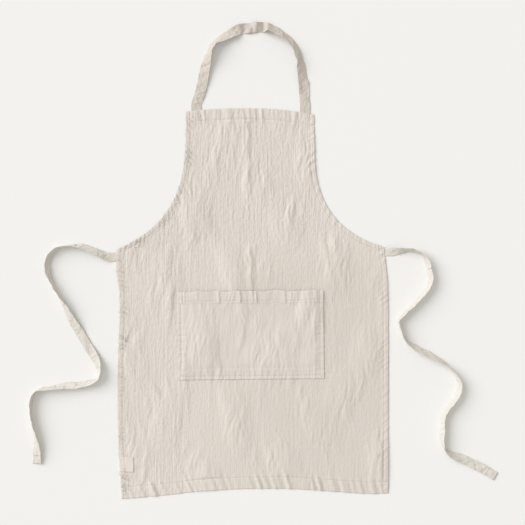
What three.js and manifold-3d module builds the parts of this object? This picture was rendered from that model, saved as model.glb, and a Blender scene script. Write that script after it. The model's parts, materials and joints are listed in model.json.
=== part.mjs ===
// A linen bib apron laid out flat, front side up: panel with turned hems, patch pocket, neck strap,
// two waist ties and a fold-over side label. Millimetres, +Z up, +Y towards the neck strap.
// The origin is at floor level, under the middle of the apron without its straps.
import * as THREE from "three";
import { mergeVertices } from "three/addons/utils/BufferGeometryUtils.js";
import Module from "manifold-3d";

const wasm = await Module();
wasm.setup();

// ---- driving sizes ----
const cloth = 0.8; // one layer of linen
const hemThickness = 1.2; // cloth turned under twice and pressed
const strapThickness = 1.2; // tape folded from four layers
const strapColumns = 3; // across its width, so that a twisted stretch keeps its thickness
const curvedGap = 0.3; // between pieces that don't meet on a flat face
const hingeGap = 0.3; // between a strap's sewn end and its free run

const bodyWidth = 604; // side edge to side edge at the hips
const skirtLength = 554; // waist corner to bottom corner
const bibLength = 313.5; // waist corner to the crest of the top edge
const bibWidth = 285;
const bibShift = -6; // the bib lies a little left of the body's middle

const sideHem = 13;
const armholeHem = 12;
const bibHem = 26;
const bottomHem = 28;
const stitchInset = 2.5; // from a hem's inner edge to its seam
const threadWidth = 0.7;
const threadHeight = 0.3;

const pocketWidth = 325;
const pocketHeight = 196;
const pocketDrop = 92.5; // waist corner to the pocket's mouth
const pocketShift = -3.8;
const pocketTilt = THREE.MathUtils.degToRad(0.6);
const pocketFlange = 24; // sewn margin that lies flat on the panel
const pocketTurn = 22; // width of the edge turned under
const pocketHem = 24;
const pocketEase = 5.6; // how far the slack pocket stands off the panel
const pocketSlope = 45; // over which it rises
const pocketSeam = 8; // seam in from the pocket's edge

const neckStrapWidth = 23;
const neckTabLength = 25;
const tieWidth = 20;
const tieTabLength = 20;
const tieEndHem = 28;
const tieEndLayer = 0.6;
const boxStitchMargin = 3; // box seam in from the sewn end's edges

const labelThickness = 0.5;
const labelHeight = 33.4;
const labelPastSeam = 1; // from the side seam to the label's fold line
const labelFlap = 18.6;
const labelAboveBottom = 76.5; // bottom corner to the label's middle

// ---- levels, floor up ----
const panelBottom = hemThickness;
const panelTop = panelBottom + cloth;
const pocketBottom = panelTop + cloth; // on its turned edge
const pocketTop = pocketBottom + cloth;

// ---- places in plan ----
const halfBody = bodyWidth / 2;
const topY = (bibLength + skirtLength) / 2;
const waistY = topY - bibLength;
const bottomY = waistY - skirtLength;
const bibLeft = bibShift - bibWidth / 2;
const bibRight = bibShift + bibWidth / 2;

const linen = new THREE.MeshStandardMaterial({ color: 0xdcd3c9, roughness: 0.95, metalness: 0 });
const tape = new THREE.MeshStandardMaterial({ color: 0xe4dcd2, roughness: 0.92, metalness: 0 });
const thread = new THREE.MeshStandardMaterial({ color: 0xcfc4b6, roughness: 0.8, metalness: 0 });
const labelCloth = new THREE.MeshStandardMaterial({ color: 0xe9dfd6, roughness: 0.85, metalness: 0 });

// ---- solids ----
function toSolid(geometry) {
  const bare = geometry.clone();
  bare.deleteAttribute("normal");
  bare.deleteAttribute("uv");
  const merged = mergeVertices(bare, 1e-4);
  const mesh = { numProp: 3, vertProperties: merged.attributes.position.array };
  return new wasm.Manifold(new wasm.Mesh({ ...mesh, triVerts: new Uint32Array(merged.index.array) }));
}

function toGeometry(solid) {
  const { vertProperties, triVerts } = solid.getMesh();
  const geometry = new THREE.BufferGeometry();
  geometry.setAttribute("position", new THREE.BufferAttribute(vertProperties, 3));
  geometry.setIndex(new THREE.BufferAttribute(triVerts, 1));
  geometry.computeVertexNormals();
  return geometry;
}

// A flat piece with this outline, from level z upwards.
function plate(points, z, thickness) {
  const shape = new THREE.Shape(points);
  const geometry = new THREE.ExtrudeGeometry(shape, { depth: thickness, bevelEnabled: false });
  return toSolid(geometry.translate(0, 0, z));
}

function block(x0, x1, y0, y1, z0, z1) {
  const geometry = new THREE.BoxGeometry(x1 - x0, y1 - y0, z1 - z0);
  return toSolid(geometry.translate((x0 + x1) / 2, (y0 + y1) / 2, (z0 + z1) / 2));
}

const pieces = new THREE.Group();

function add(name, shape, material, group = pieces) {
  const geometry = shape.isBufferGeometry ? shape : toGeometry(shape);
  const mesh = new THREE.Mesh(geometry, material);
  mesh.name = name;
  group.add(mesh);
  return mesh;
}

// ---- the panel's outline, anticlockwise, so that its inside is on the left of every edge ----
const at = (x, y) => new THREE.Vector2(x, y);

// A side edge from the bottom up: pairs of share of the skirt's length and inset from the full width.
function sideEdge(side, waves) {
  return waves.map(([share, inset]) => at(side * (halfBody - inset), bottomY + share * skirtLength));
}

const leftWaves = [[0, 11.5], [0.13, 6.5], [0.275, 3], [0.51, 2], [0.71, 6], [0.825, 6], [0.9, 0], [1, 0]];
const rightWaves = [[0.023, 0.5], [0.24, 0], [0.6, 0], [0.85, 1.5], [0.93, 5], [1.01, 10]];
const leftSide = new THREE.SplineCurve(sideEdge(-1, leftWaves).reverse());
const rightSide = new THREE.SplineCurve(sideEdge(1, rightWaves));

const bottomLeft = leftSide.points.at(-1);
const bottomRight = rightSide.points[0];
const bottomEdge = new THREE.SplineCurve([
  bottomLeft,
  at(-0.68 * halfBody, bottomY + 7),
  at(-0.39 * halfBody, bottomY + 17),
  at(-0.09 * halfBody, bottomY + 22),
  at(0.27 * halfBody, bottomY + 22.5),
  at(0.57 * halfBody, bottomY + 17),
  at(0.86 * halfBody, bottomY + 11.5),
  bottomRight,
]);

const bibCornerLeft = at(bibLeft, topY - 7.5);
const bibCornerRight = at(bibRight, topY - 14);
const topEdge = new THREE.SplineCurve([
  bibCornerRight,
  at(bibShift + 106, topY - 7.5),
  at(bibShift + 45, topY - 1.2),
  at(bibShift - 6, topY),
  at(bibShift - 44, topY - 0.2),
  at(bibShift - 109, topY - 3.5),
  bibCornerLeft,
]);

const armholeEnd = 86; // the armhole's curve ends this far below the crest
const rightArmhole = new THREE.CubicBezierCurve(
  rightSide.points.at(-1),
  at(bibRight + 40, waistY + 40),
  at(bibRight - 2, waistY + 118),
  at(bibRight + 2, topY - armholeEnd),
);
const leftArmhole = new THREE.CubicBezierCurve(
  at(bibLeft - 1.5, topY - armholeEnd),
  at(bibLeft - 5.5, waistY + 118),
  at(bibLeft - 45, waistY + 48),
  leftSide.points[0],
);

const bottomLine = bottomEdge.getPoints(28);
const rightLine = rightSide.getPoints(24);
const rightArmholeLine = [...rightArmhole.getPoints(22), bibCornerRight];
const topLine = topEdge.getPoints(24);
const leftArmholeLine = [bibCornerLeft, ...leftArmhole.getPoints(22)];
const leftLine = leftSide.getPoints(24);
const outline = [bottomLine, rightLine, rightArmholeLine, topLine, leftArmholeLine, leftLine]
  .flatMap((line) => line.slice(0, -1));

const layer = (z, thickness) => plate(outline, z, thickness);

// ---- bands along an edge: hems under the panel and seams on top of it ----
function shifted(line, distance) {
  return line.map((point, i) => {
    const ahead = line[Math.min(i + 1, line.length - 1)].clone();
    const along = ahead.sub(line[Math.max(i - 1, 0)]).normalize();
    return at(point.x - along.y * distance, point.y + along.x * distance);
  });
}

function lengthened(line, reach) {
  const past = (from, to) => to.clone().add(to.clone().sub(from).setLength(reach));
  return [past(line[1], line[0]), ...line, past(line.at(-2), line.at(-1))];
}

// The strip between two distances to the left of an edge, run on past both of its ends.
const endReach = 60;
const edgeReach = 5;

function band(line, near, far, z, thickness) {
  const long = lengthened(line, endReach);
  return plate([...shifted(long, near), ...shifted(long, far).reverse()], z, thickness);
}

const hemBand = (line, depth) => band(line, -edgeReach, depth, 0, hemThickness);
const seamBand = (line, depth) =>
  band(line, depth - stitchInset, depth - stitchInset + threadWidth, panelTop, threadHeight);

// ---- straps: sewn ends and fold lines ----
// Each strap turns about its fold line, just clear of the panel's edge and 0.2 above the panel's top.
const tieFoldLeft = -halfBody - 1.2;
const tieFoldRight = halfBody - 6.4;
const tieRootLeft = waistY - 16.75;
const tieRootRight = waistY - 4.75;
const neckFold = topY - 2.5;
const neckRootLeft = bibShift - 118.5;
const neckRootRight = bibShift + 123;

// A sewn end lies in its hem, up to half the hinge gap from its fold line.
const neckTabs = [neckRootLeft, neckRootRight].map((x) => {
  const end = neckFold - hingeGap / 2;
  return [x - neckStrapWidth / 2, x + neckStrapWidth / 2, end - neckTabLength, end];
});
const tieTabs = [[-1, tieFoldLeft, tieRootLeft], [1, tieFoldRight, tieRootRight]].map(([side, fold, y]) => {
  const end = fold - (side * hingeGap) / 2;
  const inner = end - side * tieTabLength;
  return [Math.min(end, inner), Math.max(end, inner), y - tieWidth / 2, y + tieWidth / 2];
});

function grown([x0, x1, y0, y1], by) {
  return [x0 - by, x1 + by, y0 - by, y1 + by];
}

const notches = [...neckTabs, ...tieTabs]
  .map((tab) => block(...grown(tab, curvedGap), -1, hemThickness + 0.1))
  .reduce((all, notch) => all.add(notch));

// ---- label, folded round the left side edge ----
const labelY = bottomY + labelAboveBottom;
const labelLow = labelY - labelHeight / 2;
const labelHigh = labelY + labelHeight / 2;
const edgeAtLabel = leftLine.filter(({ y }) => Math.abs(y - labelY) < labelHeight).map(({ x }) => x);
const labelWall = Math.min(...edgeAtLabel) - curvedGap;
const labelFold = Math.max(...edgeAtLabel) + sideHem - stitchInset + threadWidth + labelPastSeam;
const labelTop = panelTop + labelThickness;

const labelProfile = [
  at(labelWall - labelThickness, 0),
  at(labelFold - hingeGap / 2, 0),
  at(labelFold - hingeGap / 2, labelThickness),
  at(labelWall, labelThickness),
  at(labelWall, panelTop),
  at(labelFold - hingeGap / 2, panelTop),
  at(labelFold - hingeGap / 2, labelTop),
  at(labelWall - labelThickness, labelTop),
];

// A profile in X and Z, drawn out along Y.
function drawnAlongY(profile, y0, y1) {
  const geometry = new THREE.ExtrudeGeometry(new THREE.Shape(profile), { depth: y1 - y0, bevelEnabled: false });
  return toSolid(geometry.rotateX(Math.PI / 2).translate(0, y1, 0));
}

const labelRoom = block(
  labelWall - 10, labelFold + curvedGap, labelLow - curvedGap, labelHigh + curvedGap,
  -1, labelThickness + curvedGap,
);

// ---- front panel and hems ----
add("front_panel", layer(panelBottom, cloth), linen);

// What a hem takes of the plan, and by more all round, at every level.
const room = (line, depth) => band(line, -edgeReach, depth, -1, 10);
const bibRegion = (by) => room(topLine, bibHem + by);
const bottomRegion = (by) => room(bottomLine, bottomHem + by);
const sideRegion = (line, by) => room(line, sideHem + by);
const hemLayer = layer(0, hemThickness);

add("bib_hem", hemLayer.intersect(hemBand(topLine, bibHem)).subtract(notches), linen);
add("bottom_hem", hemLayer.intersect(hemBand(bottomLine, bottomHem)), linen);
[["left", leftLine, leftArmholeLine], ["right", rightLine, rightArmholeLine]].forEach(([side, line, armhole], i) => {
  // The side hem ends under the tie, and the armhole's hem takes over above it.
  const [, , tieLow, tieHigh] = tieTabs[i];
  const fromTieUp = block(-bodyWidth, bodyWidth, tieLow - curvedGap, topY, -1, 10);
  const fromTieDown = block(-bodyWidth, bodyWidth, bottomY, tieHigh + curvedGap, -1, 10);
  const sideStrip = hemLayer.intersect(hemBand(line, sideHem)).subtract(bottomRegion(curvedGap));
  add(`side_hem_${side}`, sideStrip.subtract(fromTieUp).subtract(labelRoom), linen);
  const armholeStrip = hemLayer.intersect(hemBand(armhole, armholeHem)).subtract(bibRegion(curvedGap));
  const underArmhole = sideRegion(line, curvedGap).intersect(fromTieDown);
  add(`armhole_hem_${side}`, armholeStrip.subtract(underArmhole).subtract(notches), linen);
});

// ---- seams on the panel ----
const seamLayer = layer(panelTop, threadHeight);
const seamClear = curvedGap - stitchInset + threadWidth;

add("bib_hem_thread", seamLayer.intersect(seamBand(topLine, bibHem)), thread);
add("bottom_hem_thread", seamLayer.intersect(seamBand(bottomLine, bottomHem)), thread);
const boxSeams = tieTabs.map((tab) => grown(tab, -boxStitchMargin));
[["left", leftArmholeLine, leftLine], ["right", rightArmholeLine, rightLine]].forEach(([side, armhole, line], i) => {
  const seam = seamLayer.intersect(seamBand(armhole, armholeHem)).subtract(bibRegion(seamClear));
  const tieBox = block(...grown(boxSeams[i], curvedGap), -1, 10);
  add(`armhole_thread_${side}`, seam.subtract(sideRegion(line, seamClear)).subtract(tieBox), thread);
});

// The side seams stop at the box seams of the ties. The left one steps up over the label.
const aboveTie = ([x0, x1, y0]) => block(x0 - 60, x1 + 60, y0 - curvedGap, y0 + 200, -1, 10);
const rightSeam = seamLayer.intersect(seamBand(rightLine, sideHem)).subtract(bottomRegion(seamClear));
add("side_hem_thread_right", rightSeam.subtract(aboveTie(boxSeams[1])), thread);

const leftSeam = seamLayer.intersect(seamBand(leftLine, sideHem)).subtract(bottomRegion(seamClear));
const overLabel = band(
  leftLine, sideHem - stitchInset, sideHem - stitchInset + threadWidth, panelTop, labelThickness + threadHeight,
);
const step = curvedGap + threadWidth;
const labelSpan = (by, z0) => block(labelWall - 10, labelFold + 20, labelLow - by, labelHigh + by, z0, 10);
const bridge = overLabel.intersect(labelSpan(step, 0)).subtract(
  block(labelWall - 10, labelFold + 20, labelLow - curvedGap, labelHigh + curvedGap, 0, labelTop),
);
const cutSeam = leftSeam.subtract(aboveTie(boxSeams[0])).subtract(labelSpan(step / 2, 0));
add("side_hem_thread_left", cutSeam.add(bridge), thread);

// ---- sewn ends of the straps, each with its box seam through panel and hem ----
function boxSeam([x0, x1, y0, y1]) {
  const inner = grown([x0, x1, y0, y1], -threadWidth);
  return block(x0, x1, y0, y1, panelTop, panelTop + threadHeight)
    .subtract(block(...inner, panelTop - 1, panelTop + 1));
}

["left", "right"].forEach((side, i) => {
  add(`neck_strap_tab_${side}`, block(...neckTabs[i], panelBottom - strapThickness, panelBottom), tape);
  const [x0, x1, y0, y1] = grown(neckTabs[i], -boxStitchMargin);
  const neckBox = [x0, x1, y0 + boxStitchMargin, Math.min(y1, topY - 12)];
  add(`neck_strap_thread_${side}`, boxSeam(neckBox), thread);
  add(`tie_tab_${side}`, block(...tieTabs[i], panelBottom - strapThickness, panelBottom), tape);
  add(`tie_thread_${side}`, boxSeam(boxSeams[i]), thread);
});

// ---- patch pocket ----
const pocket = new THREE.Group();
pocket.position.set(pocketShift, waistY - pocketDrop - pocketHeight / 2, 0);
pocket.rotation.z = pocketTilt;
pieces.add(pocket);

const halfPocket = pocketWidth / 2;
const mouthY = pocketHeight / 2;
const columns = 30;
const columnWidth = pocketWidth / columns;
const rise = (distance) => THREE.MathUtils.smoothstep(distance, pocketFlange, pocketFlange + pocketSlope);
const ease = (x, y) => pocketEase * rise(halfPocket - Math.abs(x)) * rise(y + mouthY);

// A strip of cloth over the pocket's slack shape, some of its columns wide.
// below is how far it hangs under that shape where it is curved.
function draped(count, y0, y1, z, thickness, below, rows = 1) {
  const geometry = new THREE.BoxGeometry(count * columnWidth, y1 - y0, thickness, count, rows, 1);
  geometry.translate(0, (y0 + y1) / 2, z + thickness / 2);
  const position = geometry.attributes.position;
  for (let i = 0; i < position.count; i++) {
    const height = ease(position.getX(i), position.getY(i));
    position.setZ(i, position.getZ(i) + height - THREE.MathUtils.clamp(below, -height / 2, height / 2));
  }
  return geometry;
}

add("pocket_panel", draped(columns, -mouthY, mouthY, pocketBottom, cloth, 0, 20), linen, pocket);
add("pocket_hem", draped(columns, mouthY - pocketHem, mouthY, panelTop, cloth, curvedGap), linen, pocket);

const turnTop = mouthY - pocketHem - curvedGap;
const innerTurn = halfPocket - pocketTurn;
add("pocket_turned_edge", plate([
  at(-halfPocket, turnTop),
  at(-halfPocket, -mouthY),
  at(halfPocket, -mouthY),
  at(halfPocket, turnTop),
  at(innerTurn, turnTop),
  at(innerTurn, pocketTurn - mouthY),
  at(-innerTurn, pocketTurn - mouthY),
  at(-innerTurn, turnTop),
], panelTop, cloth), linen, pocket);

const seamX = halfPocket - pocketSeam;
const seamY = pocketSeam - mouthY;
const seamTop = mouthY - boxStitchMargin;
add("pocket_thread", plate([
  at(-seamX, seamTop),
  at(-seamX, seamY),
  at(seamX, seamY),
  at(seamX, seamTop),
  at(seamX - threadWidth, seamTop),
  at(seamX - threadWidth, seamY + threadWidth),
  at(threadWidth - seamX, seamY + threadWidth),
  at(threadWidth - seamX, seamTop),
], pocketTop, threadHeight), thread, pocket);

const hemSeamY = mouthY - pocketHem + stitchInset;
const hemSeamColumns = columns - 2 * Math.ceil((pocketSeam + threadWidth + curvedGap) / columnWidth);
add("pocket_hem_thread", draped(
  hemSeamColumns, hemSeamY, hemSeamY + threadWidth, pocketTop, threadHeight, -curvedGap,
), thread, pocket);

// ---- free runs of the straps: [x, y, roll in degrees], where roll lifts the run's right-hand edge ----
const neckRoute = [
  [neckRootLeft, neckFold + hingeGap / 2, 0],
  [neckRootLeft, 442, 0],
  [-119, 460, 4],
  [-112, 486, 8],
  [-104, 526, 22],
  [-97, 553, 54],
  [-85, 577, 62],
  [-64, 591, 28],
  [-46, 600, 12],
  [-28, 609, 6],
  [-8, 612, 6],
  [14, 613, 10],
  [34, 613, 26],
  [52, 606, 40],
  [68, 595, 48],
  [86, 580, 50],
  [98, 563, 50],
  [105, 541, 46],
  [110, 511, 24],
  [113.5, 486, 10],
  [116, 456, 2],
  [neckRootRight, 440, 0],
  [neckRootRight, neckFold + hingeGap / 2, 0],
];

const leftRoute = [
  [tieFoldLeft - hingeGap / 2, tieRootLeft, 0],
  [-312, tieRootLeft, -3],
  [-324, 105, -18],
  [-342, 114, -45],
  [-374, 125.5, -52],
  [-405, 129, -82],
  [-427, 125, -95],
  [-445, 110, -125],
  [-453, 90, -132],
  [-452, 68, -120],
  [-443, 46, -106],
  [-433, 23, -90],
  [-420, 0, -62],
  [-404, -30, -36],
  [-387, -58, -14],
  [-369, -89, -5],
  [-352, -116, -16],
  [-341, -139, -52],
  [-338, -157, -80],
  [-348, -170, -74],
  [-375, -178, -52],
  [-410, -182.5, -48],
  [-445, -186, -68],
  [-474, -191, -85],
  [-487, -206, -102],
  [-491, -233, -96],
  [-488, -266, -82],
  [-481, -302, -56],
  [-477.5, -332, -28],
  [-478.5, -355.5, -10],
];

const rightRoute = [
  [tieFoldRight + hingeGap / 2, tieRootRight, 0],
  [305, tieRootRight, -12],
  [318, 116, -34],
  [334, 117.5, -55],
  [358, 117.5, -72],
  [379, 107, -74],
  [389, 88, -66],
  [394.5, 62, -62],
  [392, 42, -68],
  [377, 19, -70],
  [355, -4, -74],
  [333, -25, -80],
  [324.5, -39, -86],
  [330, -62, -94],
  [342, -84, -106],
  [364, -99, -128],
  [394, -114.5, -130],
  [422, -130, -112],
  [444, -149, -88],
  [458, -173, -73],
  [458, -194, -70],
  [446, -217, -73],
  [429, -238, -75],
  [422, -259, -72],
  [421, -285, -68],
  [420, -306, -74],
  [426, -323, -98],
  [441, -334.5, -130],
  [467, -345, -166],
  [496, -359, -174],
  [519, -371, -177],
  [540, -384, -178],
];

const straight = (points) =>
  new THREE.CatmullRomCurve3(points.map((point) => new THREE.Vector3(...point)), false, "catmullrom");

// Bends a box along a route. The box's X runs across the strap, its Y through it, and its Z back along it.
// The strap always touches the floor with its lowest edge.
function strap(route, width, { steps, thickness = strapThickness, lift = 0, from = 0, to = 1, inset = 0 }) {
  const curve = straight(route);
  const geometry = new THREE.BoxGeometry(1, 1, 1, strapColumns, 1, steps);
  const position = geometry.attributes.position;
  const centre = new THREE.Vector3();
  for (let i = 0; i < position.count; i++) {
    const share = from + (to - from) * (0.5 - position.getZ(i));
    curve.getPoint(share, centre);
    const along = curve.getTangent(share);
    const roll = THREE.MathUtils.degToRad(centre.z);
    const across = new THREE.Vector3(along.y, -along.x, 0).normalize();
    const face = across.clone().multiplyScalar(-Math.sin(roll)).setZ(Math.cos(roll));
    across.multiplyScalar(Math.cos(roll)).setZ(Math.sin(roll));
    const height = (width / 2) * Math.abs(Math.sin(roll)) + (strapThickness / 2) * Math.abs(Math.cos(roll));
    const point = new THREE.Vector3(centre.x, centre.y, height)
      .addScaledVector(across, position.getX(i) * (width - 2 * inset))
      .addScaledVector(face, position.getY(i) * thickness + lift);
    position.setXYZ(i, point.x, point.y, point.z);
  }
  return toSolid(geometry);
}

add("neck_strap", strap(neckRoute, neckStrapWidth, { steps: 80 }), tape);

// What is folded over a tie's end lies on its upper side.
for (const [side, route] of [["left", leftRoute], ["right", rightRoute]]) {
  const endRoll = THREE.MathUtils.degToRad(route[route.length - 1][2]);
  const up = Math.sign(Math.cos(endRoll));
  const endLift = strapThickness / 2 + curvedGap + tieEndLayer / 2;
  const seamLift = endLift + tieEndLayer / 2 + curvedGap + threadHeight / 2;
  const length = straight(route).getLength();
  const foldStart = 1 - tieEndHem / length;
  const seamEnd = foldStart + (stitchInset + threadWidth) / length;
  add(`tie_${side}`, strap(route, tieWidth, { steps: 80 }), tape);
  add(`tie_${side}_end_hem`, strap(route, tieWidth, {
    steps: 4, thickness: tieEndLayer, lift: up * endLift, from: foldStart,
  }), tape);
  add(`tie_${side}_end_thread`, strap(route, tieWidth, {
    steps: 1, thickness: threadHeight, lift: up * seamLift, from: foldStart + stitchInset / length, to: seamEnd, inset: 1,
  }), thread);
}

// ---- label ----
add("label_fold", drawnAlongY(labelProfile, labelLow, labelHigh), labelCloth);
add("label_flap", block(
  labelFold + hingeGap / 2, labelFold + labelFlap, labelLow, labelHigh, panelTop, labelTop,
), labelCloth);

export default pieces;
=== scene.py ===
"""A linen bib apron laid out flat: its cloth, seams, straps and label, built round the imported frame.

Lengths are in metres, and mm() turns millimetres into them. +Y runs up the apron, +Z out of its face.
"""

import json
import math

import bpy
import numpy as np
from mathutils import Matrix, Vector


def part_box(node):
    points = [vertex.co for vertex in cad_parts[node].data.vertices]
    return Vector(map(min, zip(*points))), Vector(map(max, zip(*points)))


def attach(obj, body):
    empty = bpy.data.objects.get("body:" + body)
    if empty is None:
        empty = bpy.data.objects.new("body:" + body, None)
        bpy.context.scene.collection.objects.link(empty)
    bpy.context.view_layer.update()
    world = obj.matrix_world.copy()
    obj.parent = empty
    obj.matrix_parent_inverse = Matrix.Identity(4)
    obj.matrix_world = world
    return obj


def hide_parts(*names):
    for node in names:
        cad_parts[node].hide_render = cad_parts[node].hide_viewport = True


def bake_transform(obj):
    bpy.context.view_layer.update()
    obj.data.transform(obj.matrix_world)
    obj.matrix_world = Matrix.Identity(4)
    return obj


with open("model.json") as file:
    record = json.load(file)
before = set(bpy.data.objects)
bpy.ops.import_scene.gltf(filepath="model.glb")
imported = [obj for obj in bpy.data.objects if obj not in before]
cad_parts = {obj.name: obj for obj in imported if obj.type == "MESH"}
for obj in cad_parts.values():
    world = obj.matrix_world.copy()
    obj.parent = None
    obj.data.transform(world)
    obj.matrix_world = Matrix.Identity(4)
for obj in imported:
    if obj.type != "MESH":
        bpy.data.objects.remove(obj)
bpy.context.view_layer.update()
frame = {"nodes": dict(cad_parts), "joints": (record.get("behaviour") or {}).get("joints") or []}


def mm(*sizes):
    """One length, or a tuple of several."""
    metres = tuple(size * 0.001 for size in sizes)
    return metres if len(metres) > 1 else metres[0]


def corners(node):
    """A CAD node's vertices, as an array."""
    vertices = frame["nodes"][node].data.vertices
    places = np.zeros(len(vertices) * 3, np.float32)
    vertices.foreach_get("co", places)
    return places.reshape(-1, 3).astype(float)


def size_of(node):
    low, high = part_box(node)
    return high - low


# ---- sizes that the frame gives ----
hem_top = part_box("bib_hem")[1].z
panel_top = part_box("front_panel")[1].z
cloth = panel_top - hem_top
strap_thickness = size_of("neck_strap_tab_left").z
neck_width = size_of("neck_strap_tab_left").x
tie_width = size_of("tie_tab_left").y
thread_width = mm(0.7)
hinges = {joint["name"]: joint["pos_m"] for joint in frame["joints"]}
label_low, label_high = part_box("label_fold")
label_middle = (label_low + label_high) / 2

# ---- how the cloth lies ----
HUG = mm(0.05)  # between two faces that lie on each other
LIFT = mm(0.55)  # of the panel's middle off the floor, before its waves
BROAD, CRUMPLE, CRINKLE = mm(1.3, 0.38, 0.22)
SEAM_GROOVE = mm(0.9)
EDGE_ROUND = mm(1.3)
LABEL_THICKNESS = mm(0.42)


# ---- smooth random heights ----
def waves(seed, count, across, along, x, y):
    """A smooth random height about 0 with a deviation of 1, whose waves have these lengths in X and Y."""
    random = np.random.default_rng(seed)
    total = np.zeros(np.shape(x))
    for _ in range(count):
        kx = random.choice((-1, 1)) * math.tau / random.uniform(*across)
        ky = random.choice((-1, 1)) * math.tau / random.uniform(*along)
        total += np.cos(kx * x + ky * y + random.uniform(0, math.tau))
    return total * math.sqrt(2 / count)


def ripple(seed, lengths, s, count=24):
    """The same along one line."""
    return waves(seed, count, lengths, (9, 10), s, np.zeros(np.shape(s)))


def ramp(t):
    t = np.clip(t, 0, 1)
    return t * t * (3 - 2 * t)


def bump(t):
    return np.exp(-(t**2))


def crease(t, rise, fall):
    """A sharp-crested ridge at t = 0, that rises over one length and falls over the other."""
    slope = np.where(t < 0, 1 + t / rise, 1 - t / fall)
    return np.clip(slope, 0, 1) ** 1.5


# ---- the panel's outline, read off the frame ----
def outline():
    """The corners of the panel's front face, anticlockwise."""
    mesh = frame["nodes"]["front_panel"].data
    place = [tuple(round(c, 5) for c in v.co) for v in mesh.vertices]
    follows = {}
    for face in mesh.polygons:
        loop = [place[i] for i in face.vertices]
        if all(abs(p[2] - panel_top) < 1e-5 for p in loop):
            for a, b in zip(loop, loop[1:] + loop[:1]):
                follows.setdefault(a, set()).add(b)
    rim = {a: b for a, ends in follows.items() for b in ends if a not in follows.get(b, ())}
    walk = [next(iter(rim))]
    while rim[walk[-1]] != walk[0]:
        walk.append(rim[walk[-1]])
    return np.array(walk)[:, :2]


EDGES = ("bottom", "right", "right_armhole", "top", "left_armhole", "left")


def named_edges():
    """The outline cut at its six corners, each edge running on anticlockwise from the last."""
    loop = outline()
    loop = np.roll(loop, -int(np.argmin(loop.sum(1))), axis=0)
    ahead = np.roll(loop, -1, axis=0) - loop
    behind = loop - np.roll(loop, 1, axis=0)
    turn = np.arctan2(
        behind[:, 0] * ahead[:, 1] - behind[:, 1] * ahead[:, 0], (behind * ahead).sum(1)
    )
    cuts = sorted(np.argsort(-np.abs(turn))[: len(EDGES)])
    closed = np.vstack([loop, loop[:1]])
    ends = cuts[1:] + [len(loop)]
    return {name: closed[a : b + 1] for name, a, b in zip(EDGES, cuts, ends)}


def cubic(points, t):
    """Points on a smooth curve through a list of points, for shares t of the list."""
    points = np.asarray(points, float)
    place = np.clip(t, 0, 1) * (len(points) - 1)
    i = np.minimum(place.astype(int), len(points) - 2)
    w = (place - i)[:, None]
    padded = np.vstack([2 * points[0] - points[1], points, 2 * points[-1] - points[-2]])
    before, a, b, after = (padded[i + k] for k in range(4))
    out, back = (b - before) / 2, (after - a) / 2
    return a + w * (out + w * (3 * (b - a) - 2 * out - back + w * (2 * (a - b) + out + back)))


def lengths(line):
    """How far along a line each of its points lies."""
    return np.concatenate([[0], np.cumsum(np.linalg.norm(np.diff(line, axis=0), axis=1))])


def points_at(line, at):
    """Points at these distances along a line."""
    along = lengths(line)
    return np.stack([np.interp(at, along, line[:, k]) for k in range(line.shape[1])], axis=1)


def even(line, shares):
    """Points on a line at shares of its length."""
    fine = cubic(line, np.linspace(0, 1, 8 * len(line)))
    return points_at(fine, np.asarray(shares) * lengths(fine)[-1])


def unit(vectors):
    return vectors / np.linalg.norm(vectors, axis=-1)[..., None]


edges = named_edges()


def beside(line, x, y):
    """How far along a line the nearest point lies, and how far away it is."""
    along, nearest, where = lengths(line), np.full(np.shape(x), np.inf), np.zeros(np.shape(x))
    for a, b, start in zip(line[:-1], line[1:], along[:-1]):
        step = b - a
        t = np.clip(((x - a[0]) * step[0] + (y - a[1]) * step[1]) / (step @ step), 0, 1)
        away = (x - a[0] - t * step[0]) ** 2 + (y - a[1] - t * step[1]) ** 2
        closer = away < nearest
        nearest = np.where(closer, away, nearest)
        where = np.where(closer, start + t * math.sqrt(step @ step), where)
    return where, np.sqrt(nearest)


# ---- hems: how deep each is and where its seam runs, read off the frame ----
class Hem:
    """A hem. Its puckers have these lengths along it and this height, in millimetres, and this slant."""

    def __init__(self, edge, node, seam, ripples, height, slant):
        self.line, self.node, self.seam = edges[edge], node, seam
        places = corners(node)
        self.depth = float(beside(self.line, places[:, 0], places[:, 1])[1].max())
        places = corners(seam)
        self.seam_depth = float(np.median(beside(self.line, places[:, 0], places[:, 1])[1]))
        self.ripples, self.height, self.slant = mm(*ripples), mm(height), slant
        self.seed = 40 + EDGES.index(edge)

    def level(self, x, y):
        """What the hem adds to the panel's height, and how far each place is from the edge."""
        s, d = beside(self.line, x, y)
        step = 1 - ramp((d - self.depth + mm(1.5)) / mm(4.5))
        strength = np.where(d < self.depth, 1, np.exp(-(d - self.depth) / mm(7)))
        strength = strength * (0.6 + 0.4 * ramp(d / mm(3)))
        uneven = 0.7 + 0.4 * ripple(self.seed + 50, mm(60, 160), s)
        pucker = ripple(self.seed, self.ripples, s + self.slant * d) * strength * np.clip(uneven, 0.1, 1.3)
        groove = bump((d - self.seam_depth) / mm(1.5))
        return step, pucker * self.height * (1 - 0.3 * groove), groove, d


hems = {
    row[0]: Hem(*row)
    for row in [
        ("bottom", "bottom_hem", "bottom_hem_thread", (10, 32), 1.2, 0.35),
        ("right", "side_hem_right", "side_hem_thread_right", (8, 24), 0.5, 0.8),
        ("right_armhole", "armhole_hem_right", "armhole_thread_right", (9, 26), 0.55, 0.6),
        ("top", "bib_hem", "bib_hem_thread", (12, 40), 0.85, 0.15),
        ("left_armhole", "armhole_hem_left", "armhole_thread_left", (8, 15), 1.6, -0.8),
        ("left", "side_hem_left", "side_hem_thread_left", (7, 13), 1.9, -0.5),
    ]
}


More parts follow.
